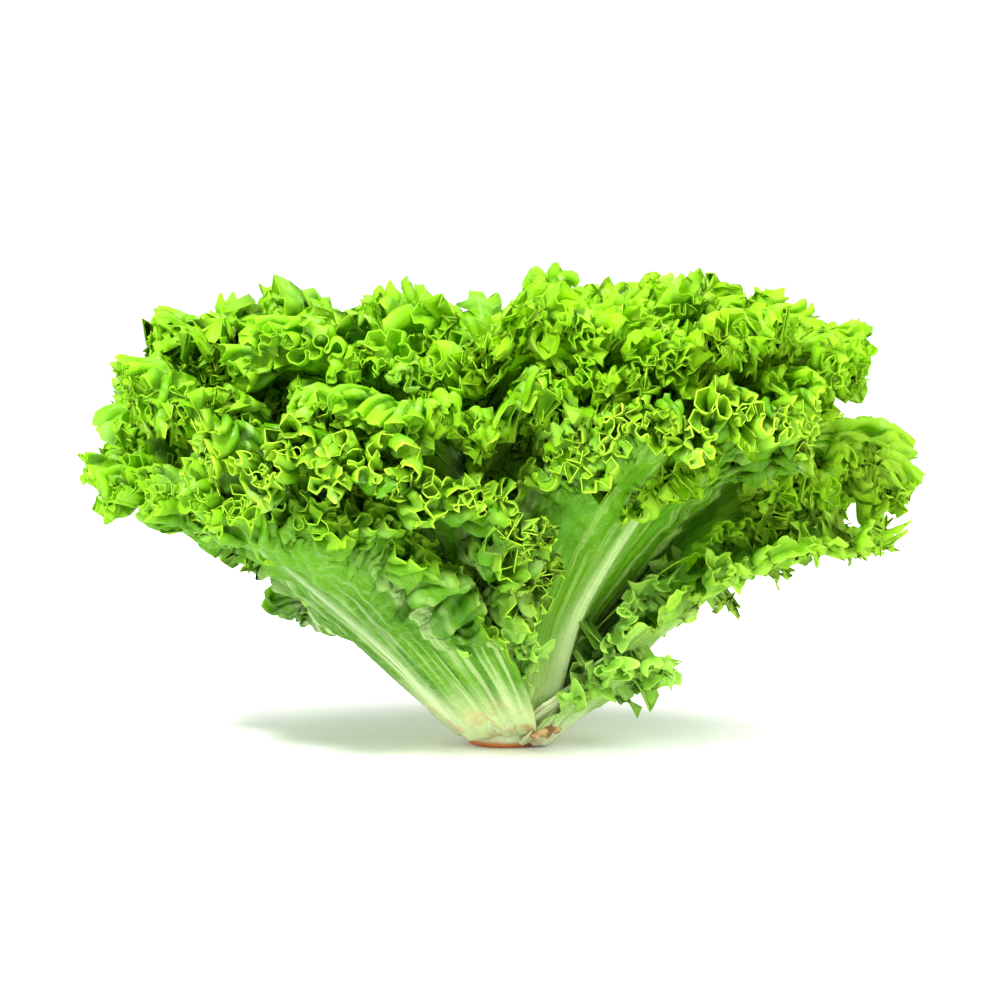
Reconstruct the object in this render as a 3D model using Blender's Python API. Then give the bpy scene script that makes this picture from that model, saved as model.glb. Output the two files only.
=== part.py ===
"""Head of green frilly leaf lettuce, cut at the stem and standing on its cut face.

Nodes: one cut stem and forty leaves.  Metres, +Z up, origin at the centre of the cut face,
front of the head towards -Y.  Every leaf is a patch of one family of nested bowl surfaces, so
neighbouring leaves lie inside one another and never meet.
"""
import math

import bpy
import numpy as np

MM = 0.001

# ---- cut stem (mm) ----
STEM_FOOT_RADIUS = 15.5
STEM_TOP_RADIUS = 2.6
STEM_HEIGHT = 54.0
STEM_EDGE_ROUND = 0.8
STEM_SIDES = 40
STEM_RINGS = (8.0, 16.0, 24.0, 32.0, 40.0, 47.0)  # heights of the rings between foot and top
STEM_TIP_RADIUS = 1.43                            # rounded tip above the top ring
STEM_TIP_RISE = 1.2
STEM_TIP_HEIGHT = 1.6

# ---- bowl family, given at eight ranks from the outermost leaf (0) to the heart (1) ----
RANKS = (0.0, 0.15, 0.3, 0.45, 0.6, 0.75, 0.9, 1.0)
START_ANGLE = (39.0, 43.0, 50.0, 58.5, 65.0, 71.0, 80.0, 87.0)    # above level at the stem, degrees
END_ANGLE = (12.0, 10.0, 14.0, 21.0, 29.0, 40.0, 60.0, 80.0)      # above level at the tip
LEAF_LENGTH = (150.0, 158.0, 163.0, 165.0, 155.0, 134.0, 113.0, 100.0)
HALF_WIDTH = (58.0, 60.0, 60.0, 58.0, 52.0, 43.0, 30.0, 20.0)     # at the widest place of the blade
BASE_HALF_WIDTH = (18.5, 18.5, 17.5, 15.5, 13.0, 10.0, 7.0, 5.0)  # where the leaf clasps the stem
BEND_POWER = 2.5
BEND_LIMIT = 1.05                                 # share of the length where the bend stops
DROOP_FROM = 0.40                                 # share of the length where a droop sets in
CURVE_END = 1.12                                  # the meridian runs a little past the tip
CURVE_POINTS = 113
FIRST_SEAT = 1.8                                  # height of the lowest leaf seat on the stem
LAST_SEAT = 49.0                                  # height of the highest leaf seat
SEAT_GAP = 0.8                                    # clears the facets of the stem and of a clasping base

# ---- one leaf ----
SPREAD_FROM = 0.02                                # share of the length where the base starts to widen
SPREAD_POWER = 1.1                                # how late the blade widens above the base
WIDEST_AT = 0.72                                  # share of the length where the blade is widest
RIB_END = 0.62                                    # share of the length where the midrib fades out
RIB_HALF_WIDTH = (6.0, 2.0)                       # midrib half width at the seat and where it fades out
RIB_THIN_FROM, RIB_THIN_TO = 0.1, 0.9             # shares of the length between which the midrib thins
RIB_THICK = (2.3, 1.2)                            # midrib thickness at the seat, outer and heart
BLADE_THICK = 0.7
BLADE_ROWS = (0.0, 0.42, 0.76, 1.0)               # shares of the way from midrib to margin
ROW_POWER = 0.85                                  # side veins curve forward towards the tip
ROOT_POWER = 1.3                                  # side veins leave the midrib closer together near the tip
OUTLINE_STEPS = 160                               # points of the outline before the columns are picked
TIP_DENSITY = 1.2                                 # columns stand closer on the blade than on the petiole
DENSE_FROM, DENSE_FULL = 0.3, 0.55
HEART_ROUNDING = 6.0                              # keeps the heart leaves from closing to tubes
NORMAL_STEP = 0.4                                 # distance over which the surface direction is taken
OUTER_COLUMNS = 28
HEART_COLUMNS = 20
HEART_FROM = 0.62

# ---- shape of the whole head ----
LEAF_COUNT = 40
FIRST_AZIMUTH = -56.5                             # degrees, anticlockwise from +X
GOLDEN_ANGLE = 137.508
LOBE_SHIFT = 0.14                                 # leaves gather to a left and a right lobe
SQUEEZE_FRONT = 0.175                             # the crown is narrower front to back
SQUEEZE_BACK = 0.285
SQUEEZE_BLEND = 45.0
SQUEEZE_HEIGHT = 60.0
RUFFLE_SHARE = 0.042                              # ruffle height / distance from the origin
RUFFLE_FROM = 88.0
RUFFLE_FULL = 150.0
RUFFLE_INNER, RUFFLE_OUTER = 20.0, 70.0           # no ruffle straight above the stem
RUFFLE_COUNT = 18
RUFFLE_DRIFT = 4.5

# place in the spiral: (azimuth in degrees, length factor, width factor, droop in degrees)
SPECIAL = {
    0: (-31.0, 0.38, 0.40, 12.0),                 # small low leaf, front right
    2: (220.0, 1.00, 1.05, -11.0),                # broad outer leaf, front left
    3: (-12.0, 0.93, 0.60, 9.0),                  # spreading right leaf
    4: (141.5, 1.00, 0.85, -9.0),
    5: (266.0, 0.40, 0.26, 0.0),                  # small tongue leaf, front middle
    7: (184.0, 1.00, 1.00, 0.0),                  # spreading left leaf
    8: (-20.0, 0.44, 0.42, 8.0),                  # second small leaf, front right
    10: (237.0, 1.00, 1.00, -6.0),                # front left leaf
    11: (14.0, 1.05, 1.00, 5.0),
    13: (-49.0, 0.98, 1.00, 0.0),                 # big front leaf seen from its back
}

STEM_COLOUR = (0.52, 0.40, 0.20)
OUTER_COLOUR = (0.13, 0.36, 0.03)
HEART_COLOUR = (0.33, 0.55, 0.09)
STEM_ROUGHNESS = 0.6
LEAF_ROUGHNESS = 0.42


def by_rank(values, rank):
    """Value of a rank table at one rank."""
    return float(np.interp(rank, RANKS, values))


def ease(value, low, high):
    """Smooth 0 to 1 step between low and high."""
    share = np.clip((value - low) / (high - low), 0.0, 1.0)
    return share * share * (3.0 - 2.0 * share)


def stem_radius(height):
    """Radius of the stem cone at a height (mm)."""
    return np.interp(height, (0.0, STEM_HEIGHT), (STEM_FOOT_RADIUS, STEM_TOP_RADIUS))


class Bowl:
    """Meridian curve of the bowl surface that carries one leaf (mm)."""

    def __init__(self, rank, droop):
        self.length = by_rank(LEAF_LENGTH, rank)
        self.rib_thick = float(np.interp(rank, (0.0, 1.0), RIB_THICK))
        start = by_rank(START_ANGLE, rank)
        end = by_rank(END_ANGLE, rank)
        self.share = np.linspace(0.0, CURVE_END, CURVE_POINTS)
        bend = (end - start) * np.clip(self.share, 0.0, BEND_LIMIT) ** BEND_POWER
        angle = np.radians(start + bend - droop * ease(self.share, DROOP_FROM, 1.0))
        seat = float(np.interp(rank, (0.0, 1.0), (FIRST_SEAT, LAST_SEAT)))
        half = 0.5 * self.rib_thick
        radius = stem_radius(seat + half * math.cos(angle[0])) + half * math.sin(angle[0]) + SEAT_GAP
        step = self.length * (self.share[1] - self.share[0])
        run = 0.5 * (np.cos(angle[1:]) + np.cos(angle[:-1]))
        rise = 0.5 * (np.sin(angle[1:]) + np.sin(angle[:-1]))
        self.radius = radius + np.concatenate([[0.0], np.cumsum(run)]) * step
        self.height = seat + np.concatenate([[0.0], np.cumsum(rise)]) * step

    def at(self, share):
        """Radius and height at a share of the bowl length."""
        return np.interp(share, self.share, self.radius), np.interp(share, self.share, self.height)


def ruffle(points):
    """Turn the crown up and down about the origin in waves that all leaves share."""
    x, y, z = points[..., 0], points[..., 1], points[..., 2]
    flat = np.hypot(x, y)
    reach = np.hypot(flat, z)
    rise = np.arctan2(z, flat)
    turn = np.arctan2(y, x)
    size = RUFFLE_SHARE * ease(reach, RUFFLE_FROM, RUFFLE_FULL) * ease(flat, RUFFLE_INNER, RUFFLE_OUTER)
    rise = rise + size * np.sin(RUFFLE_COUNT * turn + RUFFLE_DRIFT * rise)
    flat = reach * np.cos(rise)
    return np.stack([flat * np.cos(turn), flat * np.sin(turn), reach * np.sin(rise)], axis=-1)


def squeeze(points):
    """Narrow the crown front to back, leaving the foot round."""
    result = points.copy()
    towards_back = 0.5 + 0.5 * np.tanh(points[..., 1] / SQUEEZE_BLEND)
    amount = SQUEEZE_FRONT + (SQUEEZE_BACK - SQUEEZE_FRONT) * towards_back
    result[..., 1] *= 1.0 - amount * ease(points[..., 2], 0.0, SQUEEZE_HEIGHT)
    return result


def leaf_outline(base, half_width, length, columns):
    """Margin of a flat leaf from its left seat corner round the tip to the right one."""
    low = np.linspace(0.0, WIDEST_AT, OUTLINE_STEPS)
    spread = base + (half_width - base) * ease(low, SPREAD_FROM, WIDEST_AT) ** SPREAD_POWER
    turn = np.linspace(0.0, 0.5 * math.pi, OUTLINE_STEPS)[1:]
    across = np.concatenate([spread, half_width * np.cos(turn)])
    along = np.concatenate([low, WIDEST_AT + (1.0 - WIDEST_AT) * np.sin(turn)])
    steps = np.hypot(np.diff(across), np.diff(along) * length)
    dense = steps * (1.0 + TIP_DENSITY * ease(along[1:], DENSE_FROM, DENSE_FULL))
    path = np.concatenate([[0.0], np.cumsum(dense)])
    marks = np.linspace(0.0, path[-1], columns // 2 + 1)
    across = np.interp(marks, path, across)
    along = np.interp(marks, path, along)
    sides = np.linspace(1.0, 0.0, columns // 2 + 1)
    root = RIB_END * (1.0 - sides ** ROOT_POWER)
    mirror = slice(-2, None, -1)
    return (np.concatenate([-across, across[mirror]]),
            np.concatenate([along, along[mirror]]),
            np.concatenate([root, root[mirror]]))


class Leaf:
    """One leaf: petiole, midrib and blade as a closed thin shell."""

    def __init__(self, place):
        self.rank = place / (LEAF_COUNT - 1)
        turn = math.radians((FIRST_AZIMUTH + GOLDEN_ANGLE * place + 90.0 + 180.0) % 360.0 - 180.0)
        azimuth = turn + LOBE_SHIFT * math.sin(2.0 * turn) - 0.5 * math.pi
        factors = (math.degrees(azimuth), 1.0, 1.0, 0.0)
        azimuth, self.reach, wide, droop = SPECIAL.get(place, factors)
        self.azimuth = math.radians(azimuth)
        self.half_width = by_rank(HALF_WIDTH, self.rank) * wide
        self.base = by_rank(BASE_HALF_WIDTH, self.rank)
        self.bowl = Bowl(self.rank, droop)
        self.columns = HEART_COLUMNS if self.rank > HEART_FROM else OUTER_COLUMNS
        self.name = "leaf_%02d" % (place + 1)

    def surface(self, across, along):
        """Points of the middle surface for flat leaf coordinates (mm, share of length)."""
        radius, height = self.bowl.at(along * self.reach)
        turn = self.azimuth + across / (radius + HEART_ROUNDING * self.rank)
        points = np.stack([radius * np.cos(turn), radius * np.sin(turn), height], axis=-1)
        return squeeze(ruffle(points))

    def thickness(self, across, along):
        """Leaf thickness: a midrib that thins towards the tip on a thin blade."""
        width = np.interp(along, (0.0, RIB_END), RIB_HALF_WIDTH)
        rib = (self.bowl.rib_thick - BLADE_THICK) * (1.0 - ease(along, RIB_THIN_FROM, RIB_THIN_TO))
        return BLADE_THICK + rib * np.exp(-(across / width) ** 2)

    def shell(self):
        """Vertices and faces of the closed leaf."""
        length = self.bowl.length * self.reach
        margin, tips, roots = leaf_outline(self.base, self.half_width, length, self.columns)
        rows = np.array(BLADE_ROWS)[:, None]
        across = margin * rows
        along = roots + (tips - roots) * rows ** ROW_POWER
        middle = self.surface(across, along)
        side = self.surface(across + NORMAL_STEP, along) - self.surface(across - NORMAL_STEP, along)
        share = NORMAL_STEP / self.bowl.length
        ahead = self.surface(across, along + share) - self.surface(across, along - share)
        normal = np.cross(side, ahead)
        normal /= np.linalg.norm(normal, axis=-1, keepdims=True)
        half = 0.5 * self.thickness(across, along)[..., None]
        under = (middle + normal * half).reshape(-1, 3)
        upper = (middle - normal * half).reshape(-1, 3)
        count = len(margin)
        grid = np.arange(len(BLADE_ROWS) * count).reshape(len(BLADE_ROWS), count)
        centre = count // 2
        grid[0, centre + 1:] = grid[0, :centre][::-1]
        other = grid + grid.size
        faces = []
        for row in range(len(BLADE_ROWS) - 1):
            for col in range(count - 1):
                ring = [(row, col), (row, col + 1), (row + 1, col + 1), (row + 1, col)]
                first = np.linalg.norm(middle[ring[0]] - middle[ring[2]])
                second = np.linalg.norm(middle[ring[1]] - middle[ring[3]])
                cuts = ((0, 1, 2), (0, 2, 3)) if first < second else ((1, 2, 3), (1, 3, 0))
                for cut in cuts:
                    faces.append([int(grid[ring[corner]]) for corner in cut])
                    faces.append([int(other[ring[corner]]) for corner in reversed(cut)])
        last = len(BLADE_ROWS) - 1
        border = [(last, col) for col in range(count)]
        border += [(row, count - 1) for row in range(last - 1, -1, -1)]
        border += [(row, 0) for row in range(1, last + 1)]
        for first, second in zip(border[:-1], border[1:]):
            faces.append([int(grid[first]), int(grid[second]), int(other[second]), int(other[first])])
        return np.concatenate([under, upper]) * MM, faces


def cut_stem():
    """Cone of the stem core with a flat cut foot and a rounded tip."""
    rings = [(STEM_FOOT_RADIUS - STEM_EDGE_ROUND, 0.0), (STEM_FOOT_RADIUS, STEM_EDGE_ROUND)]
    for height in (*STEM_RINGS, STEM_HEIGHT):
        rings.append((float(stem_radius(height)), height))
    rings.append((STEM_TIP_RADIUS, STEM_HEIGHT + STEM_TIP_RISE))
    points = []
    for radius, height in rings:
        for side in range(STEM_SIDES):
            turn = 2.0 * math.pi * side / STEM_SIDES
            points.append((radius * math.cos(turn), radius * math.sin(turn), height))
    faces = []
    for ring in range(len(rings) - 1):
        for side in range(STEM_SIDES):
            low = ring * STEM_SIDES
            after = (side + 1) % STEM_SIDES
            faces.append([low + side, low + after, low + STEM_SIDES + after, low + STEM_SIDES + side])
    points += [(0.0, 0.0, 0.0), (0.0, 0.0, STEM_HEIGHT + STEM_TIP_HEIGHT)]
    foot, top = len(points) - 2, len(points) - 1
    upper = (len(rings) - 1) * STEM_SIDES
    for side in range(STEM_SIDES):
        after = (side + 1) % STEM_SIDES
        faces.append([foot, after, side])
        faces.append([top, upper + side, upper + after])
    return squeeze(np.array(points)) * MM, faces


def flesh(name, colour, roughness):
    """Plain plant material."""
    material = bpy.data.materials.new(name + "_skin")
    material.use_nodes = True
    shader = material.node_tree.nodes["Principled BSDF"]
    shader.inputs["Base Color"].default_value = (*colour, 1.0)
    shader.inputs["Roughness"].default_value = roughness
    return material


def add_piece(name, points, faces, colour, roughness):
    """Make one named object from points and faces."""
    mesh = bpy.data.meshes.new(name)
    mesh.from_pydata([tuple(map(float, point)) for point in points], [], faces)
    mesh.validate()
    for face in mesh.polygons:
        face.use_smooth = True
    mesh.materials.append(flesh(name, colour, roughness))
    piece = bpy.data.objects.new(name, mesh)
    bpy.context.scene.collection.objects.link(piece)
    return piece


def build():
    """Clear the file and build the whole head."""
    for old in list(bpy.data.objects):
        bpy.data.objects.remove(old, do_unlink=True)
    points, faces = cut_stem()
    add_piece("cut_stem", points, faces, STEM_COLOUR, STEM_ROUGHNESS)
    for place in range(LEAF_COUNT):
        leaf = Leaf(place)
        points, faces = leaf.shell()
        colour = tuple(np.interp(leaf.rank, (0.0, 1.0), pair) for pair in zip(OUTER_COLOUR, HEART_COLOUR))
        add_piece(leaf.name, points, faces, colour, LEAF_ROUGHNESS)


build()
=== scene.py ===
"""Fresh head of green frilly lettuce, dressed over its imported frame.

One cut stem carries forty leaves.  Each leaf starts on the same nested bowl surface as its
solid in the frame, is then ruffled along its margin in two or three orders of waves, and gets
a midrib, side veins, blisters and a toothed edge as real thickness.  Lengths are in metres.
"""

import logging
import math
from dataclasses import dataclass, field, replace
from enum import Enum, IntEnum
from typing import Any

import bpy
import numpy as np
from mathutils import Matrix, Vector

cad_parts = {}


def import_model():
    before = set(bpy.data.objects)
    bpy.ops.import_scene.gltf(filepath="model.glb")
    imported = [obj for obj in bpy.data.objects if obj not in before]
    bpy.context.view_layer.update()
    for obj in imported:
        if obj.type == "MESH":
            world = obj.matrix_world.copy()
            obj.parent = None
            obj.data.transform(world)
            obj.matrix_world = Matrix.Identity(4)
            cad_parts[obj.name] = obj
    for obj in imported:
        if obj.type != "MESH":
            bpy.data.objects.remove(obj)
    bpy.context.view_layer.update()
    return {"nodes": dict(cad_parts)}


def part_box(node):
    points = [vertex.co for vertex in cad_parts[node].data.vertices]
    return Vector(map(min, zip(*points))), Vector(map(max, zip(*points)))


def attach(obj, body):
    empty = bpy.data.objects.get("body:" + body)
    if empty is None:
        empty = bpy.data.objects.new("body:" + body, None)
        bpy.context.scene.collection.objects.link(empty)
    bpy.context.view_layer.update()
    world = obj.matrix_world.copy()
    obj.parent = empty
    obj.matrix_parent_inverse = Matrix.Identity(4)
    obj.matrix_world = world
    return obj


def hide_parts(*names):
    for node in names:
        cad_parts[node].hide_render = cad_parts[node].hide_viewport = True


LOG = logging.getLogger("lettuce")
MM = 0.001
BUMP_CELLS = 96
Array = np.ndarray
Colour = tuple[float, float, float]
Point = tuple[float, float, float]


# ---------------------------------------------------------------- number helpers


def ease(value: Any, low: float, high: float) -> Any:
    """Smooth step from 0 at low to 1 at high.

    Args:
        value: Number or array.
        low: Where the step starts.
        high: Where the step is complete.

    Returns:
        Number or array between 0 and 1.
    """
    share = np.clip((value - low) / (high - low), 0.0, 1.0)
    return share * share * (3.0 - 2.0 * share)


def unit(vectors: Array) -> Array:
    """Vectors of length one in the same directions."""
    return vectors / np.maximum(np.linalg.norm(vectors, axis=-1, keepdims=True), 1e-9)


def path_length(points: Array) -> Array:
    """Distance travelled along a row of points, from 0 at the first one."""
    steps = np.linalg.norm(np.diff(points, axis=0), axis=-1)
    return np.concatenate([[0.0], np.cumsum(steps)])


def wander(rng: np.random.Generator, path: Array, pitch: float, size: float) -> Array:
    """Smooth random curve along a path.

    Args:
        rng: Seeded source of random numbers.
        path: Increasing distances where the curve is wanted.
        pitch: Distance between two independent values.
        size: Largest swing to each side.

    Returns:
        One value for each distance.
    """
    spot = path / pitch
    knots = rng.uniform(-1.0, 1.0, int(spot[-1]) + 4)
    cell = np.floor(spot).astype(int)
    share = spot - cell
    share = share * share * (3.0 - 2.0 * share)
    return size * (knots[cell] * (1.0 - share) + knots[cell + 1] * share)


def blisters(rng: np.random.Generator, across: Array, along: Array, cell: float) -> Array:
    """Smooth random bumps over flat leaf coordinates.

    Args:
        rng: Seeded source of random numbers.
        across: Distance from the midrib.
        along: Distance from the seat.
        cell: Size of one bump.

    Returns:
        Heights between -1 and 1.
    """
    knots = rng.uniform(-1.0, 1.0, (BUMP_CELLS + 1, BUMP_CELLS + 1))
    first, second = across / cell + 0.5 * BUMP_CELLS, along / cell + 2.0
    row, col = (np.floor(spot).astype(int) % BUMP_CELLS for spot in (first, second))
    right, up = first - np.floor(first), second - np.floor(second)
    right, up = right * right * (3.0 - 2.0 * right), up * up * (3.0 - 2.0 * up)
    low = knots[row, col] * (1.0 - right) + knots[row + 1, col] * right
    high = knots[row, col + 1] * (1.0 - right) + knots[row + 1, col + 1] * right
    return low * (1.0 - up) + high * up


# ---------------------------------------------------------------- mesh helpers


def store(mesh: bpy.types.Mesh, name: str, values: Array) -> None:
    """Store one number or one point for each vertex of a mesh.

    Args:
        mesh: The mesh.
        name: Name that the finish reads.
        values: Numbers, or rows of three numbers.
    """
    kind, key = ("FLOAT_VECTOR", "vector") if values.ndim == 2 else ("FLOAT", "value")
    stored = mesh.attributes.new(name, kind, "POINT")
    stored.data.foreach_set(key, values.astype(np.float32).ravel())


def linked(name: str, data: Any) -> bpy.types.Object:
    """Make an object and link it to the scene.

    Args:
        name: Name of the object.
        data: Its mesh, light or camera.

    Returns:
        The object.
    """
    thing = bpy.data.objects.new(name, data)
    bpy.context.scene.collection.objects.link(thing)
    return thing


def ring_faces(rings: int, around: int) -> list[tuple[int, ...]]:
    """Faces between stacked rings of points.

    Args:
        rings: Number of rings.
        around: Points on each ring.

    Returns:
        Corners of each face: two on the lower ring, then two on the upper one.
    """
    faces: list[tuple[int, ...]] = []
    for low in range(0, (rings - 1) * around, around):
        for side in range(around):
            after = (side + 1) % around
            faces.append((low + side, low + after, low + around + after, low + around + side))
    return faces


# ---------------------------------------------------------------- shader helpers


class Socket:
    """Number socket of a shader, used in Python expressions."""

    def __init__(self, graph: "Graph", link: bpy.types.NodeSocket) -> None:
        """Keep the graph and the output socket."""
        self.graph = graph
        self.link = link

    def _math(self, operation: str, first: Any, second: Any, clamp: bool = False) -> "Socket":
        """Add one Math node.

        Args:
            operation: Name of the operation.
            first: Socket or number.
            second: Socket or number.
            clamp: Keep the result between 0 and 1.

        Returns:
            The result's socket.
        """
        settings = {"operation": operation, "use_clamp": clamp}
        return self.graph.add("ShaderNodeMath", settings, {0: first, 1: second}).out(0)

    def __add__(self, other: Any) -> "Socket":
        """Sum."""
        return self._math("ADD", self, other)

    def __radd__(self, other: Any) -> "Socket":
        """Sum with the number first."""
        return self._math("ADD", other, self)

    def __sub__(self, other: Any) -> "Socket":
        """Difference."""
        return self._math("SUBTRACT", self, other)

    def __rsub__(self, other: Any) -> "Socket":
        """Difference with the number first."""
        return self._math("SUBTRACT", other, self)

    def __mul__(self, other: Any) -> "Socket":
        """Product."""
        return self._math("MULTIPLY", self, other)

    def __rmul__(self, other: Any) -> "Socket":
        """Product with the number first."""
        return self._math("MULTIPLY", other, self)

    def clamped(self) -> "Socket":
        """The value kept between 0 and 1."""
        return self._math("ADD", self, 0.0, clamp=True)

    def step(self, low: float, high: float) -> "Socket":
        """Smooth step of the value.

        Args:
            low: Where the step starts.
            high: Where the step is complete.

        Returns:
            Socket between 0 and 1.
        """
        settings = {"interpolation_type": "SMOOTHSTEP"}
        values = {"Value": self, "From Min": low, "From Max": high}
        return self.graph.add("ShaderNodeMapRange", settings, values).out("Result")


class Block:
    """One shader node with short access to its outputs."""

    def __init__(self, graph: "Graph", node: bpy.types.Node) -> None:
        """Keep the graph and the node."""
        self.graph = graph
        self.node = node

    def out(self, name: Any) -> Socket:
        """Output socket by name or place."""
        return Socket(self.graph, self.node.outputs[name])


class Graph:
    """Node tree of one material."""

    def __init__(self, name: str) -> None:
        """Make an empty material.

        Args:
            name: Name of the material.
        """
        self.material = bpy.data.materials.new(name)
        self.material.use_nodes = True
        self.tree = self.material.node_tree
        self.tree.nodes.clear()

    def add(self, kind: str, settings: dict[str, Any], values: dict[Any, Any]) -> Block:
        """Add any node.

        Args:
            kind: Type of the node.
            settings: Properties set before the sockets; "stops" fills a colour ramp.
            values: Socket name or place to a value, a Socket or an output socket.

        Returns:
            The new node.
        """
        node = self.tree.nodes.new(kind)
        for key, value in settings.items():
            if key == "stops":
                self._fill_ramp(node, value)
            else:
                setattr(node, key, value)
        for key, value in values.items():
            target = node.inputs[key]
            source = value.link if isinstance(value, Socket) else value
            if isinstance(source, bpy.types.NodeSocket):
                self.tree.links.new(source, target)
            elif isinstance(source, tuple) and target.type == "RGBA":
                target.default_value = (*source[:3], 1.0)
            else:
                target.default_value = source
        return Block(self, node)

    @staticmethod
    def _fill_ramp(node: bpy.types.Node, stops: list[tuple[float, Colour]]) -> None:
        """Set a colour ramp's stops.

        Args:
            node: The ramp node.
            stops: Places and colours in rising order.
        """
        ramp = node.color_ramp
        while len(ramp.elements) < len(stops):
            ramp.elements.new(0.5)
        for element, (place, colour) in zip(ramp.elements, stops):
            element.position = place
            element.color = (*colour, 1.0)

    def attribute(self, name: str) -> Socket:
        """Number stored on the mesh."""
        return self.add("ShaderNodeAttribute", {"attribute_name": name}, {}).out("Fac")

    def place(self, name: str, scale: Point = (1.0, 1.0, 1.0)) -> Socket:
        """Point stored on the mesh, scaled.

        Args:
            name: Name of the vector on the mesh.
            scale: Factor on each axis.

        Returns:
            Vector socket.
        """
        stored = self.add("ShaderNodeAttribute", {"attribute_name": name}, {}).out("Vector")
        return self.add("ShaderNodeVectorMath", {"operation": "MULTIPLY"}, {0: stored, 1: scale}).out(0)

    def noise(self, where: Socket, scale: float, detail: float = 2.0, rough: float = 0.5) -> Socket:
        """Noise value at a place.

        Args:
            where: Vector socket.
            scale: Cells per metre.
            detail: Number of finer orders.
            rough: Strength of the finer orders.

        Returns:
            Socket around 0.5.
        """
        values = {"Vector": where, "Scale": scale, "Detail": detail, "Roughness": rough}
        return self.add("ShaderNodeTexNoise", {}, values).out("Fac")

    def mix(self, share: Any, first: Any, second: Any) -> Socket:
        """Blend of two colours.

        Args:
            share: Socket or number, 0 for the first colour.
            first: Colour or socket.
            second: Colour or socket.

        Returns:
            Colour socket.
        """
        values = {"Factor": share, 6: first, 7: second}
        return self.add("ShaderNodeMix", {"data_type": "RGBA"}, values).out(2)

    def finish(self, shader: Socket) -> bpy.types.Material:
        """Join the shader to the output and hand over the material."""
        self.add("ShaderNodeOutputMaterial", {}, {"Surface": shader})
        return self.material


# ---------------------------------------------------------------- finishes


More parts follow.
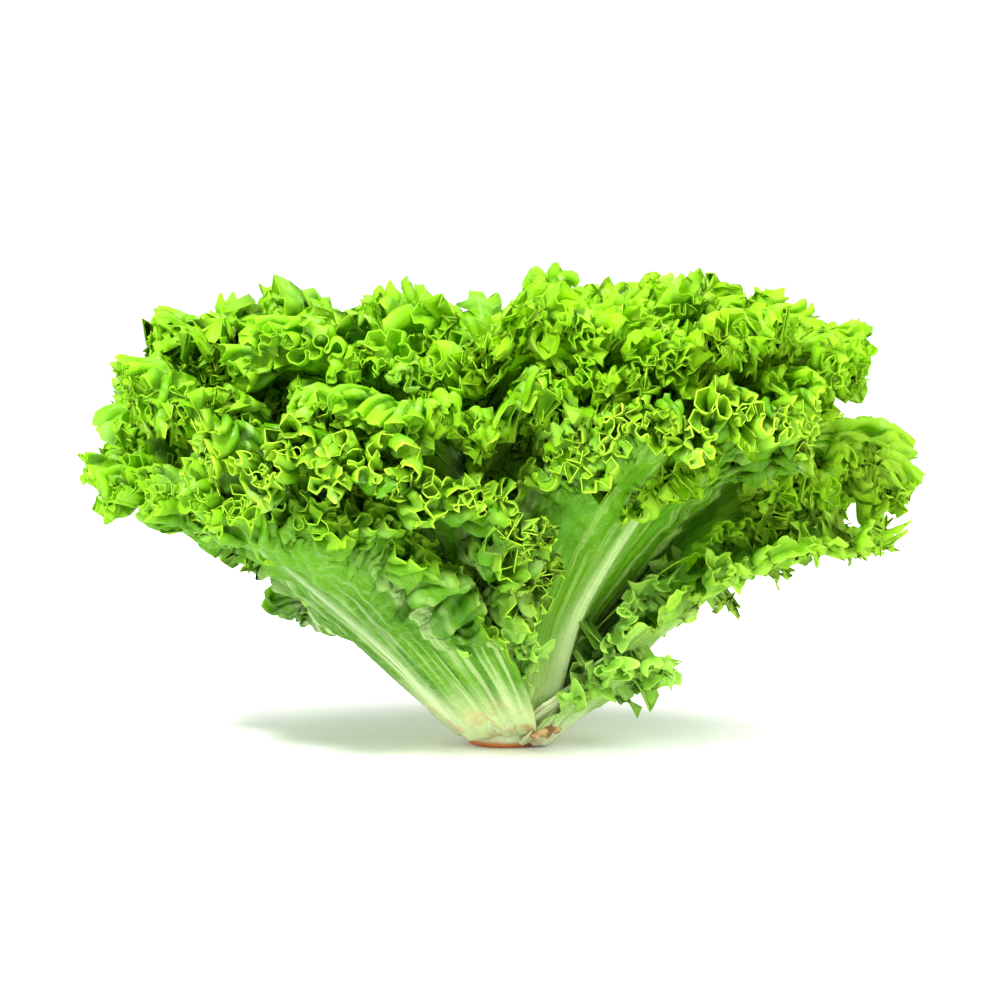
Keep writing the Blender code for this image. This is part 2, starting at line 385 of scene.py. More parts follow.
@dataclass(frozen=True)
class LeafFinish:
    """Look of one leaf, from the pale seat to the bright margin."""

    name: str
    # seat and petiole: the leaf's own pale base and green stalk, darkened partly as painted shade of the
    # canopy over the lower parts
    seat: Colour = (0.74, 0.83, 0.50)
    petiole: Colour = (0.21, 0.44, 0.03)
    blade: Colour = (0.235, 0.53, 0.004)
    deep: Colour = (0.060, 0.22, 0.002)
    margin: Colour = (0.40, 0.69, 0.03)
    vein: Colour = (0.50, 0.74, 0.22)
    rib: Colour = (0.74, 0.85, 0.52)
    back: Colour = (0.235, 0.52, 0.004)
    furrow: Colour = (0.08, 0.27, 0.010)
    glow: Colour = (0.42, 0.80, 0.02)
    # painted sheen: pale whitish patches on the puckers, standing in for glossy highlights
    painted_sheen: Colour = (0.50, 0.76, 0.24)
    rust: Colour = (0.62, 0.22, 0.09)
    rust_amount: float = 0.0
    white_end: float = 0.10
    light_through: float = 0.46
    roughness: float = 0.34
    shift: float = 0.0
    streak_end: float = 0.62
    vein_show: float = 0.3
    net_show: float = 0.13
    pale_streak: float = 0.42
    patch_scale: float = 55.0
    pucker_scale: float = 260.0
    mottle_scale: float = 700.0
    net_scale: float = 300.0
    spot_scale: float = 130.0
    bump_depth: float = 1.2 * MM

    def material(self) -> bpy.types.Material:
        """Build the leaf skin.

        Returns:
            The finished material.
        """
        graph = Graph(self.name)
        edge = graph.attribute("edge")
        along = graph.attribute("along")
        rib = graph.attribute("rib")
        vein = graph.attribute("vein")
        back = graph.attribute("back")
        flat = graph.place("flat")
        lengthwise = graph.place("strand")
        patches = graph.noise(flat, self.patch_scale + self.shift, 3.0)
        pucker = graph.noise(flat, self.pucker_scale, 2.0)
        mottle = graph.noise(flat, self.mottle_scale, 2.0)
        streaks = graph.noise(lengthwise, 9.0, 2.0, 0.6)
        threads = graph.noise(lengthwise, 26.0, 1.0)
        net = graph.add("ShaderNodeTexVoronoi", {"feature": "DISTANCE_TO_EDGE"},
                        {"Vector": flat, "Scale": self.net_scale}).out("Distance")
        mesh_lines = 1.0 - net.step(0.0, 0.12)
        low = 1.0 - along.step(self.streak_end - 0.34, self.streak_end)

        stops = [(0.0, self.seat), (self.white_end, self.seat), (self.white_end + 0.17, self.petiole),
                 (0.48, self.back), (0.64, self.blade)]
        body = graph.add("ShaderNodeValToRGB", {"stops": stops}, {0: along + (patches - 0.5) * 0.12}).out(0)
        body = graph.mix(patches.step(0.42, 0.72) * along.step(0.3, 0.6) * 0.6, body, self.deep)
        # Painted sheen: pale patches over the puckers in place of glossy highlights on the blade.
        body = graph.mix(pucker.step(0.52, 0.78) * along.step(0.3, 0.6) * 0.50, body, self.painted_sheen)
        body = graph.mix(back * along.step(0.2, 0.5) * 0.5, body, self.back)
        body = graph.mix(streaks.step(0.50, 0.36) * low * along.step(0.04, 0.22) * 0.75, body, self.furrow)
        body = graph.mix(streaks.step(0.52, 0.68) * low * self.pale_streak, body, self.seat)
        body = graph.mix(threads.step(0.52, 0.70) * low * self.pale_streak * 0.6, body, self.seat)
        body = graph.mix(mesh_lines * self.net_show * (1.0 - edge * 0.6), body, self.vein)
        body = graph.mix((vein * self.vein_show).clamped() * (0.35 + back * 0.65), body, self.vein)
        body = graph.mix((rib * (0.45 + threads * 0.9)).clamped() * (0.3 + back * 0.7), body, self.rib)
        bright = (edge.step(0.945, 0.995) * 0.85 + edge.step(0.55, 1.0) * 0.3).clamped()
        bright = bright * along.step(0.22, 0.45)
        body = graph.mix((bright + (patches - 0.5) * bright * 0.8).clamped(), body, self.margin)
        if self.rust_amount > 0.0:
            spots = graph.noise(flat, self.spot_scale, 3.0, 0.6).step(0.47, 0.66)
            body = graph.mix(spots * (1.0 - along.step(0.02, 0.20)) * self.rust_amount, body, self.rust)

        rough = self.roughness + mottle * 0.20 + low * 0.12
        height = mesh_lines * self.net_show * -1.15 + mottle * 0.35 + pucker * 1.6
        height = height + threads * low * 0.8 + streaks * low * 1.2
        bump = graph.add("ShaderNodeBump", {},
                         {"Height": height, "Strength": 0.8, "Distance": self.bump_depth}).out(0)
        skin = graph.add("ShaderNodeBsdfPrincipled", {}, {
            "Base Color": body, "Roughness": rough, "Normal": bump, "IOR": 1.45,
            "Specular IOR Level": 0.12, "Coat Weight": 0.08, "Coat Roughness": 0.22}).out(0)
        through = graph.add("ShaderNodeBsdfTranslucent", {}, {"Color": self.glow}).out(0)
        share = self.light_through * along.step(0.05, 0.55)
        return graph.finish(graph.add("ShaderNodeMixShader", {}, {0: share, 1: skin, 2: through}).out(0))


@dataclass(frozen=True)
class StemFinish:
    """Look of the cut stem: pale flesh, browned at the cut."""

    name: str = "stem_flesh"
    flesh: Colour = (0.78, 0.85, 0.58)
    shade: Colour = (0.50, 0.64, 0.24)
    cut: Colour = (0.66, 0.17, 0.03)
    brown: Colour = (0.26, 0.11, 0.03)
    tan: Colour = (0.62, 0.42, 0.17)

    def material(self) -> bpy.types.Material:
        """Build the stem skin.

        Returns:
            The finished material.
        """
        graph = Graph(self.name)
        where = graph.place("flat")
        height = graph.attribute("height")
        grain = graph.noise(graph.place("flat", (1.0, 1.0, 0.25)), 420.0, 4.0, 0.6)
        blots = graph.noise(where, 120.0, 3.0)
        body = graph.mix(grain * 0.5, self.flesh, self.shade)
        low = 1.0 - (height + (blots - 0.5) * 0.03).step(0.012, 0.045)
        body = graph.mix(low, body, self.cut)
        body = graph.mix(low * blots.step(0.48, 0.62), body, self.brown)
        bark = graph.mix(grain.step(0.40, 0.60), self.brown, self.tan)
        body = graph.mix(graph.attribute("torn"), body, bark)
        bump = graph.add("ShaderNodeBump", {}, {"Height": grain + blots, "Strength": 0.6,
                                                "Distance": 0.0008}).out(0)
        skin = graph.add("ShaderNodeBsdfPrincipled", {}, {
            "Base Color": body, "Roughness": 0.5 + blots * 0.25, "Normal": bump}).out(0)
        return graph.finish(skin)


@dataclass(frozen=True)
class FloorFinish:
    """Matt pale studio floor."""

    name: str = "studio_floor"
    colour: Colour = (0.96, 0.96, 0.96)

    def material(self) -> bpy.types.Material:
        """Build the floor paint.

        Returns:
            The finished material.
        """
        graph = Graph(self.name)
        where = graph.add("ShaderNodeTexCoord", {}, {}).out("Object")
        speck = graph.noise(where, 8.0, 2.0)
        body = graph.mix(speck * 0.3, self.colour, (0.93, 0.93, 0.93))
        skin = graph.add("ShaderNodeBsdfPrincipled", {}, {"Base Color": body, "Roughness": 0.8}).out(0)
        return graph.finish(skin)


# ---------------------------------------------------------------- leaf geometry


@dataclass(frozen=True)
class Crown:
    """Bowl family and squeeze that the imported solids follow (tables run from outermost to heart)."""

    ranks: tuple[float, ...] = (0.0, 0.15, 0.3, 0.45, 0.6, 0.75, 0.9, 1.0)
    start_angle: tuple[float, ...] = (39.0, 43.0, 50.0, 58.5, 65.0, 71.0, 80.0, 87.0)
    end_angle: tuple[float, ...] = (12.0, 10.0, 14.0, 21.0, 29.0, 40.0, 60.0, 80.0)
    length: tuple[float, ...] = (0.150, 0.158, 0.163, 0.165, 0.155, 0.134, 0.113, 0.100)
    half_width: tuple[float, ...] = (0.058, 0.060, 0.060, 0.058, 0.052, 0.043, 0.030, 0.020)
    base_half_width: tuple[float, ...] = (0.0185, 0.0185, 0.0175, 0.0155, 0.013, 0.010, 0.007, 0.005)
    bend_power: float = 2.5
    seat_thickness_mm: tuple[float, float] = (2.3, 1.2)
    seat_gap: float = 0.3 * MM
    heart_roominess: float = 6.0 * MM
    first_seat: float = 1.8 * MM
    last_seat: float = 49.0 * MM
    foot_radius: float = 15.5 * MM
    top_radius: float = 2.6 * MM
    stem_height: float = 54.0 * MM
    leaf_count: int = 40
    first_azimuth: float = -56.5
    golden_angle: float = 137.508
    lobe_shift: float = 0.14
    squeeze_front: float = 0.175
    squeeze_back: float = 0.285
    squeeze_blend: float = 45.0 * MM
    squeeze_height: float = 60.0 * MM
    foot_taper: float = 0.17
    taper_height: float = 13.0 * MM
    cleft_across: float = 1.0 * MM
    cleft_width: float = 16.0 * MM
    cleft_depth: float = 25.0 * MM
    cleft_foot: float = 80.0 * MM
    cleft_full: float = 112.0 * MM
    skyline_across: tuple[float, ...] = (-0.150, -0.125, -0.090, -0.050, -0.020, -0.006,
                                         0.010, 0.030, 0.070, 0.105, 0.130, 0.150)
    skyline_rise: tuple[float, ...] = (0.0, 0.002, 0.003, 0.001, -0.001, -0.005,
                                       0.008, 0.005, 0.010, 0.009, 0.008, -0.006)
    left_swell: float = 0.06

    def by_rank(self, table: tuple[float, ...], rank: float) -> float:
        """Value of a table at one rank."""
        return float(np.interp(rank, self.ranks, table))

    def stem_radius(self, height: float) -> float:
        """Radius of the stem core at a height."""
        return float(np.interp(height, (0.0, self.stem_height), (self.foot_radius, self.top_radius)))

    def azimuth(self, place: int) -> float:
        """Direction of a leaf in the spiral, drawn a little towards the two lobes.

        Args:
            place: Place in the spiral, 0 for the outermost leaf.

        Returns:
            Angle from the right, in radians.
        """
        degrees = self.first_azimuth + self.golden_angle * place + 270.0
        turn = math.radians(degrees % 360.0 - 180.0)
        return turn + self.lobe_shift * math.sin(2.0 * turn) - 0.5 * math.pi

    def squeeze(self, points: Array) -> Array:
        """Narrow the crown front to back and round the foot in towards the cut.

        Args:
            points: Points of the round head.

        Returns:
            Points of the squeezed head.
        """
        result = points.copy()
        towards_back = 0.5 + 0.5 * np.tanh(points[..., 1] / self.squeeze_blend)
        amount = self.squeeze_front + (self.squeeze_back - self.squeeze_front) * towards_back
        result[..., 1] *= 1.0 - amount * ease(points[..., 2], 0.0, self.squeeze_height)
        result[..., :2] *= 1.0 - self.foot_taper * (1.0 - ease(points[..., 2:], 0.0, self.taper_height))
        return result

    def part_lobes(self, points: Array) -> Array:
        """Press a cleft into the front between the lobes, and let the lobes grow unevenly.

        Args:
            points: Points of the ruffled head.

        Returns:
            Points of the parted head.
        """
        result = points.copy()
        side = np.exp(-((points[..., 0] - self.cleft_across) / self.cleft_width) ** 2)
        high = ease(points[..., 2], self.cleft_foot, self.cleft_full)
        result[..., 1] += self.cleft_depth * side * high * ease(-points[..., 1], 0.0, 50.0 * MM)
        upper = ease(points[..., 2], 0.085, 0.135)
        result[..., 2] += upper * np.interp(points[..., 0], self.skyline_across, self.skyline_rise)
        result[..., 0] *= 1.0 + self.left_swell * upper * ease(-points[..., 0], 0.04, 0.10)
        return result


@dataclass(frozen=True)
class Waves:
    """One order of ruffles along a leaf margin."""

    pitch: float
    height: float
    fold: float = 0.36
    start: float = 0.3
    start_wander: float = 0.1
    power: float = 1.2
    phase_wander: float = 1.7
    height_wander: float = 0.45
    drift: float = 1.2
    swirl: float = 0.8
    rim_calm: float = 0.8

    def apply(self, points: Array, rows: Array, frill: Array, grain: Array,
              rng: np.random.Generator) -> Array:
        """Wave a leaf surface up and down along its margin.

        Args:
            points: Grid of points, rows from midrib to margin.
            rows: Share of the way to the margin for each row.
            frill: Share of the wave that each column gets.
            grain: Smooth bumps over the leaf that bend the folds, -1 to 1.
            rng: Seeded source of random numbers.

        Returns:
            The waved grid.
        """
        path = path_length(points[-1])
        phase = 2.0 * math.pi * path / self.pitch + wander(rng, path, self.pitch * 1.7, self.phase_wander)
        size = self.height * (1.0 + wander(rng, path, self.pitch * 1.1, self.height_wander)) * frill
        start = self.start + wander(rng, path, self.pitch * 1.4, self.start_wander)
        share = np.clip((rows[:, None] - start) / (1.0 - start), 0.0, 1.0)
        reach = (share * share * (3.0 - 2.0 * share)) ** self.power * size
        phase = phase + wander(rng, path, self.pitch * 2.3, self.drift) * (1.0 - rows[:, None]) * 3.0
        phase = phase + self.swirl * grain * math.pi * (1.0 - self.rim_calm * rows[:, None] ** 5)
        tangent, normal = surface_frame(points, rows)
        up = (reach * np.sin(phase))[..., None]
        side = (reach * self.fold * np.sin(2.0 * phase))[..., None]
        return points + normal * up - tangent * side


def surface_frame(points: Array, rows: Array) -> tuple[Array, Array]:
    """Tangent along the margin and outward normal of a leaf grid.

    Args:
        points: Grid of points.
        rows: Share of the way to the margin for each row.

    Returns:
        Unit tangents and unit normals.
    """
    along = np.gradient(points, axis=1)
    outward = np.gradient(points, rows, axis=0)
    normal = unit(np.cross(along, outward))
    normal[0] = normal[2]
    normal[1] = normal[2]
    return unit(along), normal


class Fringe(Enum):
    """Kinds of leaf margin on the head."""

    RUFFLED = "ruffled"
    FINE = "fine"
    JAGGED = "jagged"
    HEART = "heart"


RUFFLES: dict[Fringe, tuple[Waves, ...]] = {
    Fringe.RUFFLED: (
        Waves(pitch=36.0 * MM, height=6.0 * MM, start=0.20, start_wander=0.14, power=1.0),
        Waves(pitch=13.0 * MM, height=5.8 * MM, start=0.42, start_wander=0.16, power=0.9, drift=2.2,
              swirl=1.0),
        Waves(pitch=6.0 * MM, height=2.7 * MM, start=0.58, start_wander=0.16, power=0.9, drift=2.4,
              swirl=1.2, height_wander=0.6),
    ),
    Fringe.FINE: (
        Waves(pitch=28.0 * MM, height=5.5 * MM, start=0.20, start_wander=0.14, power=1.0),
        Waves(pitch=9.5 * MM, height=4.4 * MM, start=0.46, start_wander=0.16, power=0.9, drift=2.2,
              swirl=1.0),
        Waves(pitch=4.8 * MM, height=2.1 * MM, start=0.60, start_wander=0.16, power=0.9, drift=2.4,
              swirl=1.2, height_wander=0.6),
    ),
    Fringe.JAGGED: (
        Waves(pitch=20.0 * MM, height=3.4 * MM, start=0.25, power=1.2),
        Waves(pitch=8.0 * MM, height=1.1 * MM, start=0.60, power=1.1),
    ),
    Fringe.HEART: (
        Waves(pitch=26.0 * MM, height=4.0 * MM, start=0.30, power=1.2),
        Waves(pitch=11.0 * MM, height=4.2 * MM, start=0.55, power=1.1),
        Waves(pitch=4.8 * MM, height=1.5 * MM, start=0.75, power=1.0),
    ),
}


@dataclass
class Leaf:
    """One leaf of the head, dressed over its solid in the frame."""

    place: int
    crown: Crown
    azimuth: float
    finish: LeafFinish
    reach: float = 1.0
    wide: float = 1.0
    droop: float = 0.0
    sag: float = 0.0
    fringe: Fringe = Fringe.RUFFLED
    flare: float = 11.0 * MM
    frill_from: float = 0.42
    frill_full: float = 0.66
    lobes: float = 0.05
    tooth: float = 1.4 * MM
    columns: int = 1601
    margin_density: float = 4.0
    clasp: float = 1.3
    spread_power: float = 1.1
    cup: float = 0.0
    rib_width: float = 6.4 * MM
    step_down: float = 0.0
    vein_height: float = 0.45 * MM
    widest: float = 0.72
    rib_end: float = 0.62
    rib_height: float = 3.4 * MM
    ridge_height: float = 0.42 * MM
    lowest: float = 0.5 * MM
    blade: float = 0.36 * MM
    seed: int = 4100
    lobe_pitch: float = 21.0 * MM
    fine_tooth_pitch: float = 0.0042
    wide_tooth_pitch: float = 0.0088
    billow_pitch: float = 45.0 * MM
    billow: float = 7.0 * MM
    grain_size: float = 10.0 * MM
    blister_size: float = 7.0 * MM
    blister_height: float = 1.7 * MM
    crinkle_size: float = 4.0 * MM
    crinkle_height: float = 1.3 * MM
    side_veins: int = 9
    vein_width: float = 0.9 * MM
    edge_reach: float = 20.0 * MM
    rows: Array = field(default_factory=lambda: np.array([
        0.0, 0.02, 0.06, 0.12, 0.19, 0.27, 0.35, 0.43, 0.50, 0.57, 0.63, 0.69, 0.74, 0.79, 0.835,
        0.875, 0.91, 0.94, 0.965, 0.985, 1.0]))

    def __post_init__(self) -> None:
        """Work out the rank, the node's name, the sizes and the meridian curve."""
        self.rank = self.place / (self.crown.leaf_count - 1)
        self.node = f"leaf_{self.place + 1:02d}"
        self.length = self.crown.by_rank(self.crown.length, self.rank)
        self.half_width = self.crown.by_rank(self.crown.half_width, self.rank) * self.wide
        self.base = self.crown.by_rank(self.crown.base_half_width, self.rank) * self.clasp
        self.rng = np.random.default_rng(self.seed + self.place)
        self._curve()

    def _curve(self) -> None:
        """Meridian curve of the bowl that carries the leaf."""
        crown = self.crown
        start = crown.by_rank(crown.start_angle, self.rank)
        end = crown.by_rank(crown.end_angle, self.rank)
        self.share = np.linspace(0.0, 1.2, 121)
        bend = (end - start) * np.clip(self.share, 0.0, 1.05) ** crown.bend_power
        droop = self.droop * ease(self.share, 0.40, 1.0) + self.sag * ease(self.share, 0.55, 1.1)
        angle = np.radians(start + bend - droop)
        half = 0.5 * float(np.interp(self.rank, (0.0, 1.0), crown.seat_thickness_mm)) * MM
        seat = float(np.interp(self.rank, (0.0, 1.0), (crown.first_seat, crown.last_seat)))
        radius = crown.stem_radius(seat + half * math.cos(angle[0]))
        radius = radius + half * math.sin(angle[0]) + crown.seat_gap
        step = self.length * (self.share[1] - self.share[0])
        run = 0.5 * (np.cos(angle[1:]) + np.cos(angle[:-1]))
        rise = 0.5 * (np.sin(angle[1:]) + np.sin(angle[:-1]))
        lower = (1.0 - ease(self.share, 0.0, 0.26)) * self.step_down
        self.radius = radius + np.concatenate([[0.0], np.cumsum(run)]) * step + 0.32 * lower
        self.height = seat + np.concatenate([[0.0], np.cumsum(rise)]) * step - lower

    def surface(self, across: Array, along: Array) -> Array:
        """Points of the smooth middle surface.

        Args:
            across: Distance from the midrib.
            along: Share of the leaf's length.

        Returns:
            Points in the frame.
        """
        share = along * self.reach
        radius = np.interp(share, self.share, self.radius)
        height = np.interp(share, self.share, self.height)
        turn = self.azimuth + across / (radius + self.crown.heart_roominess * self.rank)
        points = np.stack([radius * np.cos(turn), radius * np.sin(turn), height], axis=-1)
        return self.crown.squeeze(points)

    def outline(self) -> tuple[Array, Array, Array, Array]:
        """Margin of the flat leaf, column by column.

        Returns:
            Distance from the midrib, share of length, root on the midrib, path along the margin.
        """
        low = np.linspace(0.0, self.widest, 200)
        opening = ease(low, 0.02, self.widest) ** self.spread_power
        spread = self.base + (self.half_width - self.base) * opening
        turn = np.linspace(0.0, 0.5 * math.pi, 200)[1:]
        across = np.concatenate([spread, self.half_width * np.cos(turn)])
        self.width_line = (np.append(low, 1.3), np.append(spread, self.half_width))
        along = np.concatenate([low, self.widest + (1.0 - self.widest) * np.sin(turn)])
        steps = np.hypot(np.diff(across), np.diff(along) * self.length * self.reach)
        packed = 1.0 + self.margin_density * ease(along[1:], 0.36, 0.56)
        dense = np.concatenate([[0.0], np.cumsum(steps * packed)])
        true = np.concatenate([[0.0], np.cumsum(steps)])
        marks = np.linspace(0.0, dense[-1], self.columns // 2 + 1)
        across, along, true = (np.interp(marks, dense, line) for line in (across, along, true))
        root = self.rib_end * (1.0 - (1.0 - true / true[-1]) ** 1.3)
        mirror = slice(-2, None, -1)
        return (np.concatenate([-across, across[mirror]]), np.concatenate([along, along[mirror]]),
                np.concatenate([root, root[mirror]]), np.concatenate([true, 2.0 * true[-1] - true[mirror]]))

    def shaped(self) -> dict[str, Array]:
        """Ruffled middle surface and the numbers that dress it.

        Returns:
            Grids by name: points, normal, across, along, edge, vein.
        """
        margin, tips, roots, path = self.outline()
        rows = self.rows[:, None]
        swing = wander(self.rng, path, 20.0 * MM, 1.8)
        lobe = 0.5 + 0.5 * np.sin(2.0 * math.pi * path / self.lobe_pitch + swing)
        lobe = 1.0 - self.lobes * lobe ** 1.5 * ease(tips, 0.2, 0.45)
        reach = rows * (1.0 - (1.0 - lobe) * rows ** 2)
        across = margin * reach
        along = roots + (tips - roots) * reach ** 0.85
        points = self.surface(across, along)
        frill = ease(tips, self.frill_from, self.frill_full)
        normal = surface_frame(points, self.rows)[1]
        lift = self.flare * rows ** 2.5 * frill
        billows = wander(self.rng, path, self.billow_pitch, self.billow)
        lift = lift + billows * rows ** 1.5 * ease(tips, 0.2, 0.6)
        lift = lift - self.cup * (across / self.half_width) ** 2 * ease(along, 0.15, 0.6)
        points = points + normal * lift[..., None]
        down = along * self.length
        grain = blisters(self.rng, across, down, self.grain_size)
        for waves in RUFFLES[self.fringe]:
            points = waves.apply(points, self.rows, frill, grain, self.rng)
        normal = surface_frame(points, self.rows)[1]
        puff = blisters(self.rng, across, down, self.blister_size) * self.blister_height
        puff = puff + blisters(self.rng, across, down, self.crinkle_size) * self.crinkle_height
        points = points + normal * (puff * ease(rows, 0.04, 0.25) * ease(along, 0.3, 0.6))[..., None]
        points = self.crown.part_lobes(self.teeth(points, frill))
        normal = surface_frame(points, self.rows)[1]
        half_path = path[-1] / 2.0
        count = np.abs(path - half_path) / half_path * self.side_veins
        off = np.abs(count - np.round(count)) * (half_path / self.side_veins)
        vein = np.exp(-((off * (0.25 + rows)) / self.vein_width) ** 2) * (1.0 - ease(rows, 0.45, 0.95))
        steps = np.linalg.norm(np.diff(points, axis=0), axis=2)
        inward = np.concatenate([np.cumsum(steps[::-1], axis=0)[::-1], np.zeros_like(steps[:1])])
        edge = np.clip(1.0 - inward / self.edge_reach, 0.0, 1.0)
        return {"points": points, "normal": normal, "across": across, "along": along, "edge": edge,
                "vein": vein * ease(along, 0.12, 0.3)}

    def teeth(self, points: Array, frill: Array) -> Array:
        """Pull the margin out into small uneven teeth.

        Args:
            points: Grid of points.
            frill: Share of the ruffle that each column gets.

        Returns:
            Grid with a toothed margin.
        """
        path = path_length(points[-1])
        out = unit(points[-1] - points[-5])
        swing = wander(self.rng, path, 0.008, 1.7)
        fine = 1.0 - np.abs(np.sin(math.pi * path / self.fine_tooth_pitch + swing))
        swing = wander(self.rng, path, 0.014, 1.6)
        wide = 1.0 - np.abs(np.sin(math.pi * path / self.wide_tooth_pitch + swing))
        uneven = 1.0 + wander(self.rng, path, 0.009, 0.6)
        size = self.tooth * (0.8 * fine + 0.9 * wide) * (0.1 + frill) * uneven
        return points + out[None] * (ease(self.rows[:, None], 0.84, 1.0) * size)[..., None]

    def build(self) -> bpy.types.Object:
        """Make the leaf as one closed thin body with its finish.

        Returns:
            The leaf object.
        """
        grid = self.shaped()
        points, across, along = grid["points"], grid["across"], grid["along"]
        near = np.clip(along / 0.8, 0.0, 1.0)
        rib = np.exp(-(across / (self.rib_width * (1.0 - 0.78 * near))) ** 2) * (1.0 - near) ** 0.6
        strand = across / np.interp(along, *self.width_line)
        low = 1.0 - ease(along, 0.12, 0.55)
        ridges = sum(np.sin(strand * wave + self.rng.uniform(0.0, 6.0)) for wave in (9.0, 15.0, 25.0))
        seat = np.sqrt(ease(along, -0.004, 0.022))
        thick = self.blade * (1.0 + 2.6 * (1.0 - ease(along, 0.0, 0.35))) * seat
        outer = points + grid["normal"] * (0.5 * thick + self.rib_height * (1.0 - near) ** 1.1 * rib * seat
                                           + ridges * low * seat * self.ridge_height
                                           + self.vein_height * grid["vein"])[..., None]
        inner = points - grid["normal"] * (0.5 * thick)[..., None]
        centre = across.shape[1] // 2
        for layer in (outer, inner):
            layer[..., 2] = np.maximum(layer[..., 2], self.lowest)
            layer[0, :centre] = 0.5 * (layer[0, :centre] + layer[0, centre + 1:][::-1])
        values = {"edge": grid["edge"], "along": along, "rib": rib, "vein": grid["vein"]}
        lengthwise = np.stack([strand, along * 0.12, np.full(across.shape, self.place * 0.41)], axis=-1)
        down = along * self.length * self.reach
        flat = np.stack([across, down, np.full(across.shape, self.place * 0.37)], axis=-1)
        shell = Shell(outer, inner, values, {"flat": flat, "strand": lengthwise})
        leaf = shell.build(f"frilled_{self.node}", self.finish.material())
        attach(leaf, "root")
        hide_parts(self.node)
        return leaf


@dataclass
class Shell:
    """Closed thin body between two grids that share their first row end to end."""

    outer: Array
    inner: Array
    values: dict[str, Array]
    places: dict[str, Array]

    def _faces(self) -> tuple[Array, Array]:
        """Faces of both layers and the border.

        Returns:
            Corner indices of each face and their flat texture places.
        """
        rows, cols = self.outer.shape[:2]
        grid = np.arange(rows * cols).reshape(rows, cols)
        centre = cols // 2
        grid[0, centre + 1:] = grid[0, :centre][::-1]
        other = grid + rows * cols
        spot = np.stack(np.meshgrid(np.linspace(0.01, 0.99, cols), np.linspace(0.0, 0.48, rows)), axis=-1)
        low = spot + (0.0, 0.01)
        high = spot * (1.0, -1.0) + (0.0, 0.99)
        parts, places = [], []
        for cells, spots, order in ((grid, low, (0, 1, 2, 3)), (other, high, (3, 2, 1, 0))):
            for kind, target in ((cells, parts), (spots, places)):
                corners = (kind[:-1, :-1], kind[:-1, 1:], kind[1:, 1:], kind[1:, :-1])
                stacked = np.stack([corners[i] for i in order], axis=2)
                target.append(stacked.reshape((-1, 4) + kind.shape[2:]))
        rim = ((grid[-1], other[-1], low[-1], high[-1]),
               (grid[::-1, -1], other[::-1, -1], low[::-1, -1] + (0.006, 0), low[::-1, -1] + (0.009, 0)),
               (grid[:, 0], other[:, 0], low[:, 0] - (0.006, 0), low[:, 0] - (0.009, 0)))
        for first, second, here, there in rim:
            parts.append(np.stack([first[1:], first[:-1], second[:-1], second[1:]], axis=1)[:, ::-1])
            places.append(np.stack([here[1:], here[:-1], there[:-1], there[1:]], axis=1)[:, ::-1])
        parts[2:] = [part[:, ::-1] for part in parts[2:]]
        places[2:] = [place[:, ::-1] for place in places[2:]]
        return np.concatenate(parts), np.concatenate(places)

    def build(self, name: str, material: bpy.types.Material) -> bpy.types.Object:
        """Make the mesh object.

        Args:
            name: Name of the piece.
            material: Its finish.

        Returns:
            The object, linked to the scene.
        """
        faces, places = self._faces()
        points = np.concatenate([self.outer.reshape(-1, 3), self.inner.reshape(-1, 3)])
        used = np.unique(faces)
        renumber = np.zeros(len(points), dtype=np.int64)
        renumber[used] = np.arange(len(used))
        faces = renumber[faces]
        mesh = bpy.data.meshes.new(name)
        mesh.vertices.add(len(used))
        mesh.vertices.foreach_set("co", points[used].astype(np.float32).ravel())
        mesh.loops.add(faces.size)
        mesh.loops.foreach_set("vertex_index", faces.astype(np.int32).ravel())
        mesh.polygons.add(len(faces))
        mesh.polygons.foreach_set("loop_start", (np.arange(len(faces)) * 4).astype(np.int32))
        mesh.polygons.foreach_set("loop_total", np.full(len(faces), 4, np.int32))
        mesh.polygons.foreach_set("use_smooth", np.ones(len(faces), bool))
        mesh.update(calc_edges=True)
        layer = mesh.uv_layers.new(name="OFBake")
        layer.data.foreach_set("uv", places.astype(np.float32).ravel())
        sides = {key: (grid, grid) for key, grid in self.values.items()}
        sides["back"] = (np.ones(self.outer.shape[:2]), np.zeros(self.outer.shape[:2]))
        for key, (front, behind) in sides.items():
            store(mesh, key, np.concatenate([front.ravel(), behind.ravel()])[used])
        for key, grid in self.places.items():
            store(mesh, key, np.concatenate([grid.reshape(-1, 3)] * 2)[used])
        mesh.materials.append(material)
        return linked(name, mesh)


# ---------------------------------------------------------------- stem


